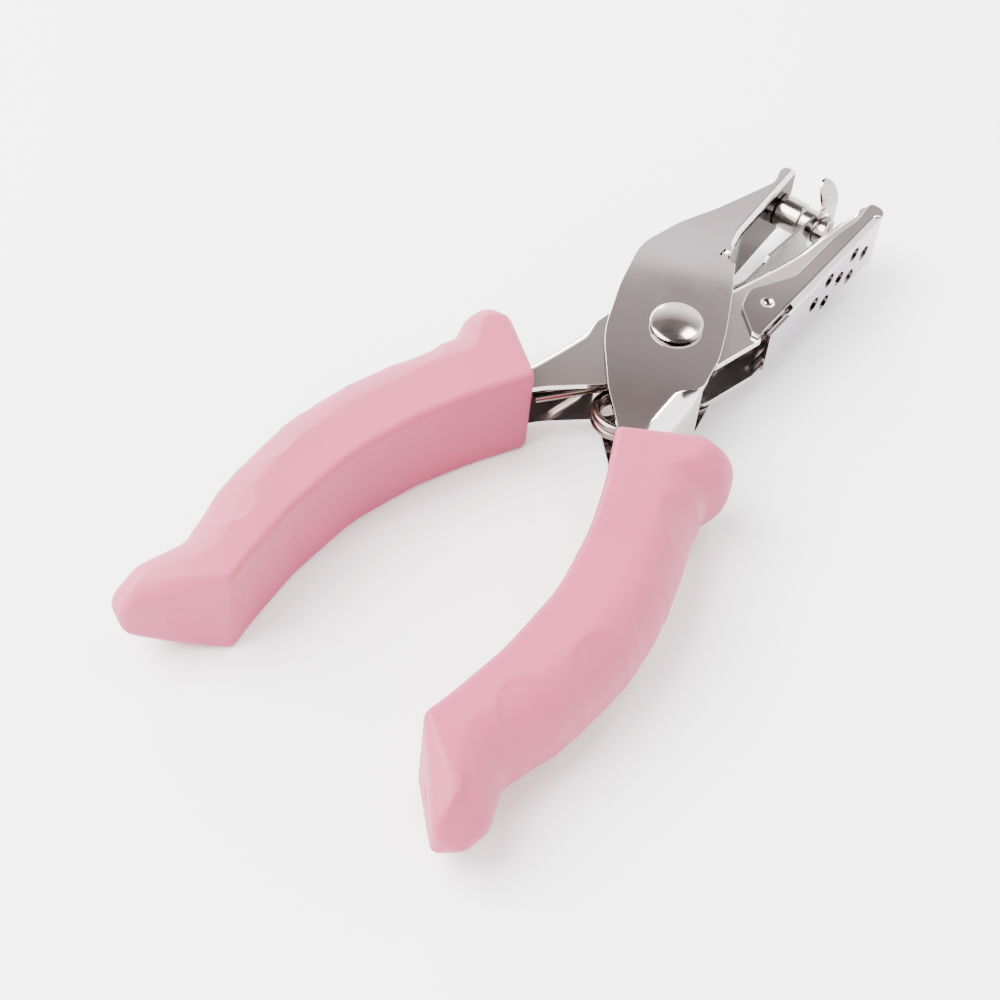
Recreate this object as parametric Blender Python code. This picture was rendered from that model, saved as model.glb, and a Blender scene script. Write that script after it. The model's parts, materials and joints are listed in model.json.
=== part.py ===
"""Single-hole punch pliers: two pressed-steel levers on one rivet, soft grips, chip cover.

Plan lengths are in millimetres from the pivot axis: +X towards the jaws, +Y towards the punch
jaw's side, +Z along the pivot. The whole part is moved so that its origin is at the bottom
centre of its box.
"""
import math

import bmesh
import bpy
import numpy as np
from mathutils import Matrix, Vector

MM = 0.001

# Driving dimensions, mm
PIVOT = (29.43, -2.1, 10.5)      # pivot axis at mid thickness, from the part's origin
GRIP_AXIS_Y = 2.1                # the two grips mirror each other about this line
GAP = 0.3                        # clearance between pieces that meet
OPEN_CUT = 0.25                  # how far a hollow runs past an open edge
THROUGH = 2.0                    # how far a cutter runs past the faces it opens
ARC_STEP = 16.0                  # largest turn between points of a rounded corner, degrees

PUNCH_HALF = 7.0                 # half height over the punch lever's flanges
PUNCH_SHEET = 1.1
DIE_HALF = 5.5                   # half height over the die lever's flanges
DIE_SHEET = 1.1
BEND = 1.1                       # outer bend radius of the lever sheet
BEND_STEPS = 3
COVER_BEND = 1.0                 # outer bend radius of the cover's thinner sheet
RELIEF_LOW = (20.6, 0.0)         # notch that frees the punch jaw's web from its flanges
RELIEF_HIGH = (22.3, 4.2)

GRIP_HALF = 10.5
GRIP_REACH = 1.4                 # how far along the outline soft edges average, per softness
GRIP_TOP = 0.985                 # share of an edge's rounding used up at the flat side
GRIP_SPACING = 4.0               # longest edge of a grip's outline
BUTT_CORNER = (-98.3, 20.2)      # inner corner of a grip's slanted butt face
BUTT_ALONG = (-0.726, 0.688)     # direction of that face, towards the outer side
BUTT_REACH = 22.0                # length over which a grip's height rounds off to its tip
GRIP_LEVELS = 7                  # layers from mid thickness to a grip's flat side
GRIP_END_X = -88.0               # where the levers end inside the grips

RIVET_HEAD_R = 5.0
RIVET_SHANK_R = 2.6
RIVET_TAIL_R = 4.0
RIVET_DOME_R = 19.0              # curvature of the rivet's shallow head
RIVET_RIM = 0.75                 # height of the head's rim over its seat

PIN_X = 45.4                     # pin centre on the punch jaw's paper face
PIN_FACE_Y = 5.05
PIN_TILT = math.radians(3.0)
PIN_R = 3.0
PIN_COLLAR_R = 3.4
PIN_COLLAR_LENGTH = 5.0
PIN_LENGTH = 10.7
PIN_TENON_R = 2.0
DIE_BITE = math.radians(6.0)     # lever's turn when the pin is halfway through the die
DIE_CLEARANCE = 0.45             # the tilting pin's side clearance in the die

STRIP_SHEET = 0.5
STRIP_LOW = 4.2                  # half height of the strip's foot
STRIP_HIGH = 5.4                 # half height of the strip's blade
STRIP_EAR = 10.2                 # half height over the two paper ears
STRIP_PIN_CLEARANCE = 0.9        # side clearance of the pin's hole in the strip
STRIP_RIVET_R = 1.0

COVER_HALF = 6.6
COVER_SHEET = 0.8
COVER_WEB_Y = -14.0
COVER_HINGE = (16.5, -9.6)
HINGE_BOSS_R = 1.1               # half-sheared boss that the cover turns on
COVER_NOSE_R = 4.0               # rounded lower front corner of the cover's web
VENT_R = 1.6

WIRE_R = 0.9
COIL_R = 5.0
COIL_CENTRE = (-18.7, -2.0)
COIL_WHOLE_TURNS = 2             # plus the arc between its two legs
COIL_PITCH = 2.0

# Corners of each sheet outline: x, y, fillet radius. Walls are spans of corners whose edges
# carry the channel's web.
PUNCH_OUTLINE = [
    (22.6, 2.7, 0.5), (28.5, 4.2, 8), (39.4, 4.8, 20), (50.8, 5.4, 1.7), (50.4, 8.4, 1.6),
    (47.4, 8.0, 2.0), (44.4, 7.0, 5), (38.0, 9.1, 12), (31.0, 11.4, 14), (22.5, 15.0, 14),
    (13.0, 17.3, 12), (2.0, 14.2, 20), (-10.0, 9.4, 24), (-20.5, 0.8, 24), (-27.1, -6.2, 20),
    (-40.0, -14.2, 24), (-50.0, -18.1, 40), (-64.0, -21.7, 40), (-80.0, -22.1, 40),
    (GRIP_END_X, -21.6, 2), (GRIP_END_X, -29.9, 2), (-70.0, -31.4, 40), (-55.0, -28.9, 30),
    (-40.0, -21.9, 40), (-30.0, -15.4, 14), (-22.0, -12.9, 20), (-8.5, -12.3, 5),
    (-1.5, -10.8, 12), (5.4, -7.8, 20), (14.6, -3.0, 20), (21.4, 1.0, 0.5),
]
PUNCH_WALLS = [(0, 4), (20, 26)]

DIE_OUTLINE = [
    (12.5, -0.7, 0.5), (11.0, 4.0, 3), (6.0, 10.6, 8), (-5.6, 12.1, 20), (-17.8, 14.7, 40),
    (-24.0, 16.2, 12), (-30.0, 19.1, 20), (-40.0, 26.1, 40), (-55.0, 33.1, 30),
    (-70.0, 35.6, 40), (GRIP_END_X, 34.1, 2), (GRIP_END_X, 25.8, 2), (-80.0, 26.3, 40),
    (-64.0, 25.9, 40), (-50.0, 22.3, 40), (-40.0, 18.4, 24), (-27.6, 11.2, 20),
    (-18.5, 1.6, 12), (-11.0, -6.5, 10), (-2.5, -10.7, 8), (9.0, -13.5, 0.6),
    (10.0, -11.5, 0.6), (18.6, -11.5, 0.6), (20.0, -12.9, 0.6), (50.6, -12.9, 2.2),
    (53.0, -10.2, 1.2), (51.0, -9.2, 3), (46.0, -7.9, 10), (39.4, -7.0, 10), (33.2, -6.4, 20),
    (27.3, -5.0, 20), (15.4, -1.4, 12),
]
DIE_WALLS = [(3, 10), (26, 32)]

COVER_OUTLINE = [
    (20.8, -7.0, 6), (25.8, -9.7, 4), (31.0, -9.8, 20), (39.5, -9.8, 20), (46.5, -10.8, 6),
    (52.6, -10.2, 1.2), (52.6, COVER_WEB_Y, 2.6), (8.6, COVER_WEB_Y, 0.5),
    (8.4, -11.6, 0.8), (12.8, -6.3, 2.4), (17.2, -5.0, 3.0),
]
COVER_REAR_X = 11.5              # rear edge of the cover's outer web
COVER_SLOT_X = 19.3              # the ears leave the web behind this line

# Strip's plan line, riveted foot to tip
STRIP_LINE = [(12.9, 0.0), (20.6, -2.4), (28.0, -2.45), (50.9, -4.0)]

# Grip outline in its own half plane, y from the grips' mirror line:
# x, y, fillet radius, edge softness
GRIP_OUTLINE = [
    (-29.2, 8.9, 1.0, 1.2), (-19.2, 21.6, 9.0, 4.5), (-17.0, 28.0, 6.0, 9.5),
    (-22.5, 30.1, 4.0, 10.0), (-28.0, 28.6, 3.0, 10.0), (-38.0, 32.2, 12.0, 9.5),
    (-55.0, 37.8, 30.0, 9.5), (-70.0, 39.2, 40.0, 9.5), (-84.0, 37.6, 20.0, 9.5),
    (-95.0, 34.8, 6.0, 10.0), (-103.5, 38.6, 5.0, 11.0), (-110.0, 37.8, 3.5, 12.0),
    (-111.8, 33.0, 2.0, 7.0), (-98.3, 20.2, 1.2, 1.3), (-92.0, 21.2, 20.0, 1.3),
    (-80.0, 22.4, 30.0, 1.3), (-64.0, 22.0, 40.0, 1.3), (-50.0, 18.4, 40.0, 1.3),
    (-40.0, 14.4, 40.0, 1.3),
]


def clear_scene():
    for obj in list(bpy.data.objects):
        bpy.data.objects.remove(obj)


def material(name, colour, metallic, roughness):
    mat = bpy.data.materials.new(name)
    mat.use_nodes = True
    shader = mat.node_tree.nodes["Principled BSDF"]
    shader.inputs["Base Color"].default_value = (*colour, 1.0)
    shader.inputs["Metallic"].default_value = metallic
    shader.inputs["Roughness"].default_value = roughness
    return mat


def fillet(corners, walls=()):
    """Round the corners. Returns the points and, per point, whether its next edge is a wall."""
    count = len(corners)
    walled = [any(a <= i < b for a, b in walls) for i in range(count)]
    points = []
    flags = []
    for i, corner in enumerate(corners):
        here = Vector(corner[:2])
        back = Vector(corners[i - 1][:2]) - here
        ahead = Vector(corners[(i + 1) % count][:2]) - here
        reach = min(back.length, ahead.length) * 0.48
        back.normalize()
        ahead.normalize()
        half = math.acos(max(-1.0, min(1.0, back.dot(ahead)))) / 2
        turn = math.pi - 2 * half
        tangent = min(corner[2] / math.tan(half), reach)
        radius = tangent * math.tan(half)
        inner = (back + ahead).normalized()
        centre = here + inner * (radius / math.sin(half))
        arm = here + back * tangent - centre
        sweep = turn if back.cross(ahead) < 0 else -turn
        steps = max(1, math.ceil(turn / math.radians(ARC_STEP)))
        for k in range(steps + 1):
            points.append(centre + Matrix.Rotation(sweep * k / steps, 2) @ arm)
            flags.append(walled[i] if k == steps else walled[i - 1] and walled[i])
    return points, flags


def turning_side(points):
    """+1 for an outline that runs anticlockwise, -1 for the other way."""
    return 1.0 if sum(points[i - 1].cross(points[i]) for i in range(len(points))) > 0 else -1.0


def offset(points, distances):
    """Move each edge along its outward normal by its distance, for an outline that runs either way."""
    count = len(points)
    side = turning_side(points)
    normals = []
    for i in range(count):
        edge = (points[(i + 1) % count] - points[i]).normalized()
        normals.append(Vector((edge.y, -edge.x)) * side)
    moved = []
    for i, point in enumerate(points):
        before = normals[i - 1]
        after = normals[i]
        if abs(distances[i - 1] - distances[i]) > 1e-6:
            moved.append(point + before * distances[i - 1])
            moved.append(point + after * distances[i])
            continue
        middle = (before + after).normalized()
        moved.append(point + middle * (distances[i] / max(0.3, middle.dot(before))))
    return moved


def loft_mesh(rings):
    """A closed solid through rings of equally many (x, y, z) points in mm, capped at both ends."""
    bm = bmesh.new()
    loops = [[bm.verts.new((x * MM, y * MM, z * MM)) for x, y, z in ring] for ring in rings]
    count = len(loops[0])
    for a, b in zip(loops, loops[1:]):
        for i in range(count):
            j = (i + 1) % count
            bm.faces.new((a[i], a[j], b[j], b[i]))
    bm.faces.new(loops[0])
    bm.faces.new(loops[-1])
    bmesh.ops.recalc_face_normals(bm, faces=bm.faces)
    return bm


def prism_mesh(points, low, high):
    """A closed prism over an outline, from one height to another."""
    return loft_mesh([[(p.x, p.y, z) for p in points] for z in (low, high)])


def finish_object(name, bm, mat=None, smooth=True):
    mesh = bpy.data.meshes.new(name)
    bmesh.ops.recalc_face_normals(bm, faces=bm.faces)
    bm.to_mesh(mesh)
    bm.free()
    if smooth:
        mesh.shade_smooth()
        mesh.set_sharp_from_angle(angle=math.radians(32))
    obj = bpy.data.objects.new(name, mesh)
    bpy.context.collection.objects.link(obj)
    obj.location = Vector(PIVOT) * MM
    if mat:
        mesh.materials.append(mat)
    return obj


def cutter(name, bm):
    obj = finish_object(name, bm, smooth=False)
    obj.hide_render = True
    obj.display_type = 'WIRE'
    return obj


def cut(obj, tool):
    mod = obj.modifiers.new("cut_" + tool.name, 'BOOLEAN')
    mod.operation = 'DIFFERENCE'
    mod.solver = 'EXACT'
    mod.object = tool


def cylinder_mesh(start, end, radius, sides=32):
    """A closed round bar between two points, mm."""
    a = Vector(start) * MM
    b = Vector(end) * MM
    bm = bmesh.new()
    bmesh.ops.create_cone(bm, cap_ends=True, segments=sides, radius1=radius * MM,
                          radius2=radius * MM, depth=(b - a).length)
    turn = (b - a).to_track_quat('Z', 'Y').to_matrix().to_4x4()
    bmesh.ops.transform(bm, matrix=Matrix.Translation((a + b) / 2) @ turn, verts=bm.verts)
    return bm


def turned_mesh(profile, sides=32):
    """A closed turned piece about Z from (radius, height) pairs, both ends on the axis, mm."""
    bm = bmesh.new()
    rings = []
    for radius, height in profile:
        if radius == 0:
            rings.append([bm.verts.new((0, 0, height * MM))])
            continue
        ring = []
        for k in range(sides):
            angle = 2 * math.pi * k / sides
            x = radius * math.cos(angle)
            y = radius * math.sin(angle)
            ring.append(bm.verts.new((x * MM, y * MM, height * MM)))
        rings.append(ring)
    for low, high in zip(rings, rings[1:]):
        for k in range(sides):
            j = (k + 1) % sides
            face = [low[k % len(low)], low[j % len(low)], high[j % len(high)], high[k % len(high)]]
            bm.faces.new(list(dict.fromkeys(face)))
    bmesh.ops.recalc_face_normals(bm, faces=bm.faces)
    return bm


def box_mesh(low, high):
    bm = bmesh.new()
    bmesh.ops.create_cube(bm, size=1.0)
    for vert in bm.verts:
        for axis in range(3):
            value = high[axis] if vert.co[axis] > 0 else low[axis]
            vert.co[axis] = value * MM
    return bm


def channel(name, corners, walls, half, sheet, bend, mat):
    """A folded channel: two flanges of the outline, joined by the web along its walled edges.

    Returns the object and its outline's points.
    """
    points, flags = fillet(corners, walls)
    bent = [flags[i] and flags[i - 1] for i in range(len(flags))]
    upper = []
    for k in range(BEND_STEPS + 1):
        angle = math.pi / 2 * k / BEND_STEPS
        inset = bend * (1 - math.cos(angle))
        height = half - bend * (1 - math.sin(angle))
        ring = inset_outline(points, [inset if flag else 0.0 for flag in bent])
        upper.append([(p.x, p.y, height) for p in ring])
    lower = [[(x, y, -z) for x, y, z in ring] for ring in reversed(upper)]
    body = finish_object(name, loft_mesh(lower + upper), mat)
    hollow = offset(points, [-sheet if flag else OPEN_CUT for flag in flags])
    cut(body, cutter(name + "_hollow", prism_mesh(hollow, -half + sheet, half - sheet)))
    return body, points


def make_punch_lever(mat):
    body, points = channel("punch_lever", PUNCH_OUTLINE, PUNCH_WALLS, PUNCH_HALF,
                           PUNCH_SHEET, BEND, mat)
    reach = PUNCH_HALF + THROUGH
    hole = cylinder_mesh((0, 0, -reach), (0, 0, reach), RIVET_SHANK_R + GAP)
    cut(body, cutter("punch_pivot_hole", hole))
    base, direction = pin_axis()
    start = base - direction * 2.2
    tenon_hole = cylinder_mesh(start, base + direction * 1.0, PIN_TENON_R + GAP, 24)
    cut(body, cutter("punch_tenon_hole", tenon_hole))
    relief = box_mesh((*RELIEF_LOW, -reach), (*RELIEF_HIGH, reach))
    cut(body, cutter("punch_relief", relief))
    return points


def make_die_lever(mat):
    body, points = channel("die_lever", DIE_OUTLINE, DIE_WALLS, DIE_HALF, DIE_SHEET, BEND, mat)
    reach = DIE_HALF + THROUGH
    hole = cylinder_mesh((0, 0, -reach), (0, 0, reach), RIVET_SHANK_R + GAP)
    cut(body, cutter("die_pivot_hole", hole))
    base, direction = pin_axis()
    turn = Matrix.Rotation(-DIE_BITE, 3, 'Z')
    top = turn @ (base + direction * PIN_COLLAR_LENGTH)
    bottom = turn @ (base + direction * PIN_LENGTH)
    die = cylinder_mesh(top, bottom, PIN_R + DIE_CLEARANCE, 36)
    cut(body, cutter("die_bore", die))
    hinge = cylinder_mesh((*COVER_HINGE, -reach), (*COVER_HINGE, reach), HINGE_BOSS_R + GAP, 24)
    cut(body, cutter("die_hinge_hole", hinge))
    cut(body, cutter("die_rivet_hole", strip_rivet_hole_mesh()))
    return points


def pin_axis():
    base = Vector((PIN_X, PIN_FACE_Y, 0.0))
    direction = Vector((math.sin(PIN_TILT), -math.cos(PIN_TILT), 0.0))
    return base, direction


def make_punch_pin(mat):
    base, direction = pin_axis()
    back = -PUNCH_SHEET - GAP
    tail = [(0, back - 1.0), (1.6, back - 1.0), (2.6, back - 0.5), (2.6, back), (PIN_TENON_R, back),
            (PIN_TENON_R, GAP), (PIN_COLLAR_R - 0.3, GAP), (PIN_COLLAR_R, GAP + 0.3),
            (PIN_COLLAR_R, PIN_COLLAR_LENGTH - 0.3), (PIN_R, PIN_COLLAR_LENGTH + 0.1),
            (PIN_R, PIN_LENGTH), (PIN_R - 0.4, PIN_LENGTH), (PIN_R * 0.5, PIN_LENGTH - 0.5),
            (0, PIN_LENGTH - 0.65)]
    bm = turned_mesh(tail, 40)
    turn = direction.to_track_quat('Z', 'Y').to_matrix().to_4x4()
    bmesh.ops.transform(bm, matrix=Matrix.Translation(base * MM) @ turn, verts=bm.verts)
    finish_object("punch_pin", bm, mat)


def make_pivot_rivet(mat):
    top = PUNCH_HALF + GAP
    rim = top + RIVET_RIM
    rise = RIVET_DOME_R - math.sqrt(RIVET_DOME_R ** 2 - RIVET_HEAD_R ** 2)
    dome = []
    for share in (1.0, 0.8, 0.6, 0.4, 0.2):
        radius = RIVET_HEAD_R * share
        fall = RIVET_DOME_R - math.sqrt(RIVET_DOME_R ** 2 - radius ** 2)
        dome.append((radius, rim + rise - fall))
    profile = [(0, -top - 1.4), (2.6, -top - 1.4), (RIVET_TAIL_R - 0.2, -top - 0.9),
               (RIVET_TAIL_R, -top), (RIVET_SHANK_R, -top), (RIVET_SHANK_R, top),
               (RIVET_HEAD_R - 0.4, top), (RIVET_HEAD_R, top + 0.3), *dome, (0, rim + rise)]
    finish_object("pivot_rivet", turned_mesh(profile, 48), mat)


def strip_rivet_axis():
    start = Vector((*STRIP_LINE[0], 0.0))
    end = Vector((*STRIP_LINE[1], 0.0))
    along = (end - start).normalized()
    return start.lerp(end, 0.45), Vector((-along.y, along.x, 0.0))


def strip_rivet_hole_mesh():
    """What the strip's rivet needs open through the strip and the die lever's web."""
    middle, normal = strip_rivet_axis()
    return cylinder_mesh(middle - normal * 3, middle + normal * 3, STRIP_RIVET_R + GAP, 20)


def strip_half_height(x):
    """Half height of the strip by place: low foot, blade, necked before the ears."""
    if x < 27.5:
        return STRIP_LOW
    if x < 46.6:
        return STRIP_HIGH
    waist = math.sin(math.pi * min(1.0, (x - 46.6) / 4.3))
    return STRIP_HIGH - 0.9 * waist


def make_stripper(mat):
    """A thin folded strip along STRIP_LINE, with two leaf ears turned towards the punch jaw."""
    line = [Vector(p) for p in STRIP_LINE]
    stations = [line[0], line[0].lerp(line[1], 0.5), line[1], line[1].lerp(line[2], 0.9), line[2]]
    stations += [line[2].lerp(line[3], k / 14) for k in range(1, 15)]
    rings = []
    for i, point in enumerate(stations):
        before = stations[max(0, i - 1)]
        after = stations[min(len(stations) - 1, i + 1)]
        along = (after - before).normalized()
        normal = Vector((-along.y, along.x)) * (STRIP_SHEET / 2)
        half = strip_half_height(point.x)
        front = point + normal
        back = point - normal
        rings.append([(front.x, front.y, half), (front.x, front.y, -half),
                      (back.x, back.y, -half), (back.x, back.y, half)])
    body = finish_object("stripper_plate", loft_mesh(rings), mat, smooth=False)
    for side, label in ((1, "upper"), (-1, "lower")):
        ear = ear_mesh(side)
        tool = cutter("stripper_ear_" + label, ear)
        join = body.modifiers.new("join_" + label, 'BOOLEAN')
        join.operation = 'UNION'
        join.solver = 'EXACT'
        join.object = tool
    base, direction = pin_axis()
    centre = base + direction * 9.0
    centre.x -= 0.25
    reach = Vector((0, THROUGH, 0))
    hole = cylinder_mesh(centre - reach, centre + reach, PIN_R + STRIP_PIN_CLEARANCE, 32)
    cut(body, cutter("stripper_pin_hole", hole))
    cut(body, cutter("stripper_rivet_hole", strip_rivet_hole_mesh()))


def ear_mesh(side):
    """One leaf-shaped ear, flared towards +Y as it rises from the strip's edge."""
    tip = Vector(STRIP_LINE[3])
    along = (tip - Vector(STRIP_LINE[2])).normalized()
    rings = []
    levels = 9
    for k in range(levels + 1):
        t = k / levels
        height = side * ((STRIP_HIGH - 1.6) + (STRIP_EAR - STRIP_HIGH + 1.6) * t)
        width = 2.5 * math.sqrt(max(0.02, 1 - (max(0.0, t - 0.35) / 0.66) ** 2))
        lean = 3.0 * max(0.0, t - 0.15) ** 1.3
        centre = tip - along * 2.6
        ring = []
        for across, face in ((-1, -1), (1, -1), (1, 1), (-1, 1)):
            spot = centre + along * (across * width)
            ring.append((spot.x, spot.y + lean + face * STRIP_SHEET / 2, height))
        rings.append(ring)
    return loft_mesh(rings)


def make_stripper_rivet(mat):
    middle, normal = strip_rivet_axis()
    head = STRIP_SHEET / 2 + GAP
    tail = -(STRIP_SHEET / 2 + GAP + DIE_SHEET + GAP)
    profile = [(0, tail - 0.7), (1.4, tail - 0.6), (1.7, tail), (STRIP_RIVET_R, tail),
               (STRIP_RIVET_R, head), (1.9, head), (1.7, head + 0.4), (1.0, head + 0.7),
               (0, head + 0.8)]
    bm = turned_mesh(profile, 20)
    turn = normal.to_track_quat('Z', 'Y').to_matrix().to_4x4()
    bmesh.ops.transform(bm, matrix=Matrix.Translation(middle * MM) @ turn, verts=bm.verts)
    finish_object("stripper_rivet", bm, mat)


def vent_holes():
    """Centres of the seven vents on the cover's outer web: x and height, three staggered rows."""
    pitch = 9.1
    for height, first, count in ((0.0, 28.0, 3), (3.0, 32.6, 2), (-3.0, 32.6, 2)):
        for k in range(count):
            yield first + pitch * k, height


def make_chip_cover(mat):
    walls = [(6, 7)]
    body, _ = channel("chip_cover", COVER_OUTLINE, walls, COVER_HALF, COVER_SHEET, COVER_BEND, mat)
    low_y = COVER_WEB_Y - 1
    high_y = COVER_WEB_Y + COVER_SHEET + GAP
    rear = box_mesh((4.0, low_y, -COVER_HALF + 1.5), (COVER_REAR_X, high_y, COVER_HALF - 1.5))
    cut(body, cutter("cover_rear_cut", rear))
    for side, label in ((1, "upper"), (-1, "lower")):
        inner = side * (COVER_HALF - 1.6)
        outer = side * (COVER_HALF + 1)
        low = (4.0, low_y, min(inner, outer))
        high = (COVER_SLOT_X, high_y, max(inner, outer))
        cut(body, cutter("cover_slot_" + label, box_mesh(low, high)))
        boss_low = side * (DIE_HALF - DIE_SHEET * 0.6)
        boss_high = side * (COVER_HALF - COVER_SHEET / 2)
        boss = cylinder_mesh((*COVER_HINGE, boss_low), (*COVER_HINGE, boss_high), HINGE_BOSS_R, 24)
        join = body.modifiers.new("join_boss_" + label, 'BOOLEAN')
        join.operation = 'UNION'
        join.solver = 'EXACT'
        join.object = cutter("cover_boss_" + label, boss)
        dish = turned_mesh([(0, -1.0), (0.8, -0.85), (1.3, -0.5), (1.6, 0.1), (1.6, 1.0), (0, 1.0)], 24)
        if side < 0:
            bmesh.ops.transform(dish, matrix=Matrix.Rotation(math.pi, 4, 'X'), verts=dish.verts)
        shift = Vector((*COVER_HINGE, side * COVER_HALF)) * MM
        bmesh.ops.translate(dish, vec=shift, verts=dish.verts)
        cut(body, cutter("cover_dish_" + label, dish))
    for index, (x, height) in enumerate(vent_holes()):
        hole = cylinder_mesh((x, COVER_WEB_Y - 2, height), (x, COVER_WEB_Y + 3, height), VENT_R, 20)
        cut(body, cutter("cover_vent_%d" % index, hole))
    nose_cut = nose_cutter_mesh()
    cut(body, cutter("cover_nose_cut", nose_cut))
    set_origin(body, COVER_HINGE)


def nose_cutter_mesh():
    """What is left outside the rounded lower front of the cover, as seen from its outer side."""
    radius = COVER_NOSE_R
    centre_x = 52.6 - radius
    centre_z = -COVER_HALF + radius
    outline = [Vector((54.0, centre_z)), Vector((52.6, centre_z))]
    for k in range(1, 8):
        angle = math.pi / 2 * k / 8
        outline.append(Vector((centre_x + radius * math.cos(angle), centre_z - radius * math.sin(angle))))
    outline += [Vector((centre_x, -COVER_HALF)), Vector((centre_x, -COVER_HALF - 2)),
                Vector((54.0, -COVER_HALF - 2))]
    bm = prism_mesh(outline, -16.0, -12.6)
    bmesh.ops.transform(bm, matrix=Matrix(((1, 0, 0, 0), (0, 0, 1, 0), (0, 1, 0, 0), (0, 0, 0, 1))),
                        verts=bm.verts)
    bmesh.ops.recalc_face_normals(bm, faces=bm.faces)
    return bm


def set_origin(obj, spot):
    """Put an object's origin on its own hinge axis without moving its shape."""
    shift = Vector((spot[0], spot[1], 0.0)) * MM
    obj.data.transform(Matrix.Translation(-shift))
    obj.location = obj.location + shift


def make_torsion_spring(mat):
    """A round-wire coil about Z with one straight leg towards each handle."""
    centre = Vector(COIL_CENTRE)
    start_angle = math.radians(53.0)
    sweep = -(2 * math.pi * COIL_WHOLE_TURNS + start_angle + math.pi / 2)
    lift = COIL_PITCH * abs(sweep) / (4 * math.pi)
    points = []
    first = centre + Vector((math.cos(start_angle), math.sin(start_angle))) * COIL_R
    along = Vector((-math.sin(start_angle), math.cos(start_angle)))
    points.append(Vector((*(first + along * 15.5), lift)))
    points.append(Vector((*(first + along * 3.0), lift)))
    steps = 56
    for k in range(steps + 1):
        t = k / steps
        angle = start_angle + sweep * t
        x = centre.x + COIL_R * math.cos(angle)
        y = centre.y + COIL_R * math.sin(angle)
        points.append(Vector((x, y, lift - 2 * lift * t)))
    last = points[-1]
    points.append(last + Vector((-2.5, 0, 0)))
    points.append(last + Vector((-7.0, 0, 0)))
    curve = bpy.data.curves.new("torsion_spring", 'CURVE')
    curve.dimensions = '3D'
    curve.bevel_depth = WIRE_R * MM
    curve.bevel_resolution = 2
    curve.use_fill_caps = True
    spline = curve.splines.new('POLY')
    spline.points.add(len(points) - 1)
    for slot, point in zip(spline.points, points):
        slot.co = (*(point * MM), 1.0)
    curve.materials.append(mat)
    obj = bpy.data.objects.new("torsion_spring", curve)
    obj.location = Vector(PIVOT) * MM
    bpy.context.collection.objects.link(obj)


def make_grip(name, side, lever_points, lever_half, mat):
    """A soft sleeve: the outline lofted with softened edges, bored to the lever's outer shape."""
    corners = [(x, y, r) for x, y, r, _ in GRIP_OUTLINE]
    points = subdivided(fillet(corners)[0], GRIP_SPACING)
    softness = grip_softness(points)
    inward = soft_normals(points, [GRIP_REACH * soft for soft in softness])
    rings = []
    for k in range(-GRIP_LEVELS, GRIP_LEVELS + 1):
        height = GRIP_HALF * math.sin(math.pi / 2 * k / GRIP_LEVELS)
        ring = [p + n * edge_inset(soft, height) for p, n, soft in zip(points, inward, softness)]
        rings.append([(p.x, GRIP_AXIS_Y + side * p.y, height * butt_height(p)) for p in ring])
    body = finish_object(name, loft_mesh(rings), mat)
    envelope = offset(lever_points, [GAP] * len(lever_points))
    high = lever_half + GAP
    cut(body, cutter(name + "_bore", prism_mesh(envelope, -high, high)))


def butt_height(point):
    """Share of the grip's full height left at a point: the butt end is oval, down to its tip."""
    along = (point - Vector(BUTT_CORNER)).dot(Vector(BUTT_ALONG)) / BUTT_REACH
    return math.sqrt(1 - min(0.97, max(0.0, along)) ** 2)


def subdivided(points, spacing):
    """The same outline with its long edges split."""
    result = []
    for i, point in enumerate(points):
        ahead = points[(i + 1) % len(points)]
        steps = max(1, math.ceil((ahead - point).length / spacing))
        result += [point.lerp(ahead, k / steps) for k in range(steps)]
    return result


def soft_normals(points, reaches):
    """Inward normals, each averaged along the outline over its own reach, so that insets don't cross."""
    count = len(points)
    edges = [points[(i + 1) % count] - points[i] for i in range(count)]
    places, total = outline_places(points)
    side = turning_side(points)
    normals = []
    for place, reach in zip(places, reaches):
        blend = Vector((0.0, 0.0))
        for edge, start in zip(edges, places):
            gap = abs(start + edge.length / 2 - place)
            weight = math.exp(-(min(gap, total - gap) / reach) ** 2)
            blend += Vector((-edge.y, edge.x)) * (side * weight)
        normals.append(blend.normalized())
    return normals


def outline_places(points):
    """Each point's distance along the outline from the first, and the whole length round."""
    places = [0.0]
    for i, point in enumerate(points):
        places.append(places[-1] + (points[(i + 1) % len(points)] - point).length)
    return places[:-1], places[-1]


def grip_softness(points):
    """Edge softness at each outline point, run evenly from corner to corner."""
    places, total = outline_places(points)
    knots = []
    for x, y, _, soft in GRIP_OUTLINE:
        distances = [(point - Vector((x, y))).length for point in points]
        knots.append((places[distances.index(min(distances))], soft))
    knots.sort()
    spots = [spot for spot, _ in knots]
    softness = [soft for _, soft in knots]
    return [float(value) for value in np.interp(places, spots, softness, period=total)]


def edge_inset(softness, height):
    """How far a soft edge pulls in at a height from mid thickness: round, or oval if over the half height."""
    reach = min(softness, GRIP_HALF)
    rise = abs(height) * GRIP_TOP - (GRIP_HALF - reach)
    if rise <= 0:
        return 0.0
    return softness * (1 - math.sqrt(max(0.0, 1 - (rise / reach) ** 2)))


def inset_outline(points, insets):
    """Move each point inwards, square to its neighbours' line."""
    count = len(points)
    side = turning_side(points)
    moved = []
    for i, point in enumerate(points):
        edge = (points[(i + 1) % count] - points[i - 1]).normalized()
        inward = Vector((-edge.y, edge.x)) * side
        moved.append(point + inward * insets[i])
    return moved


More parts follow.
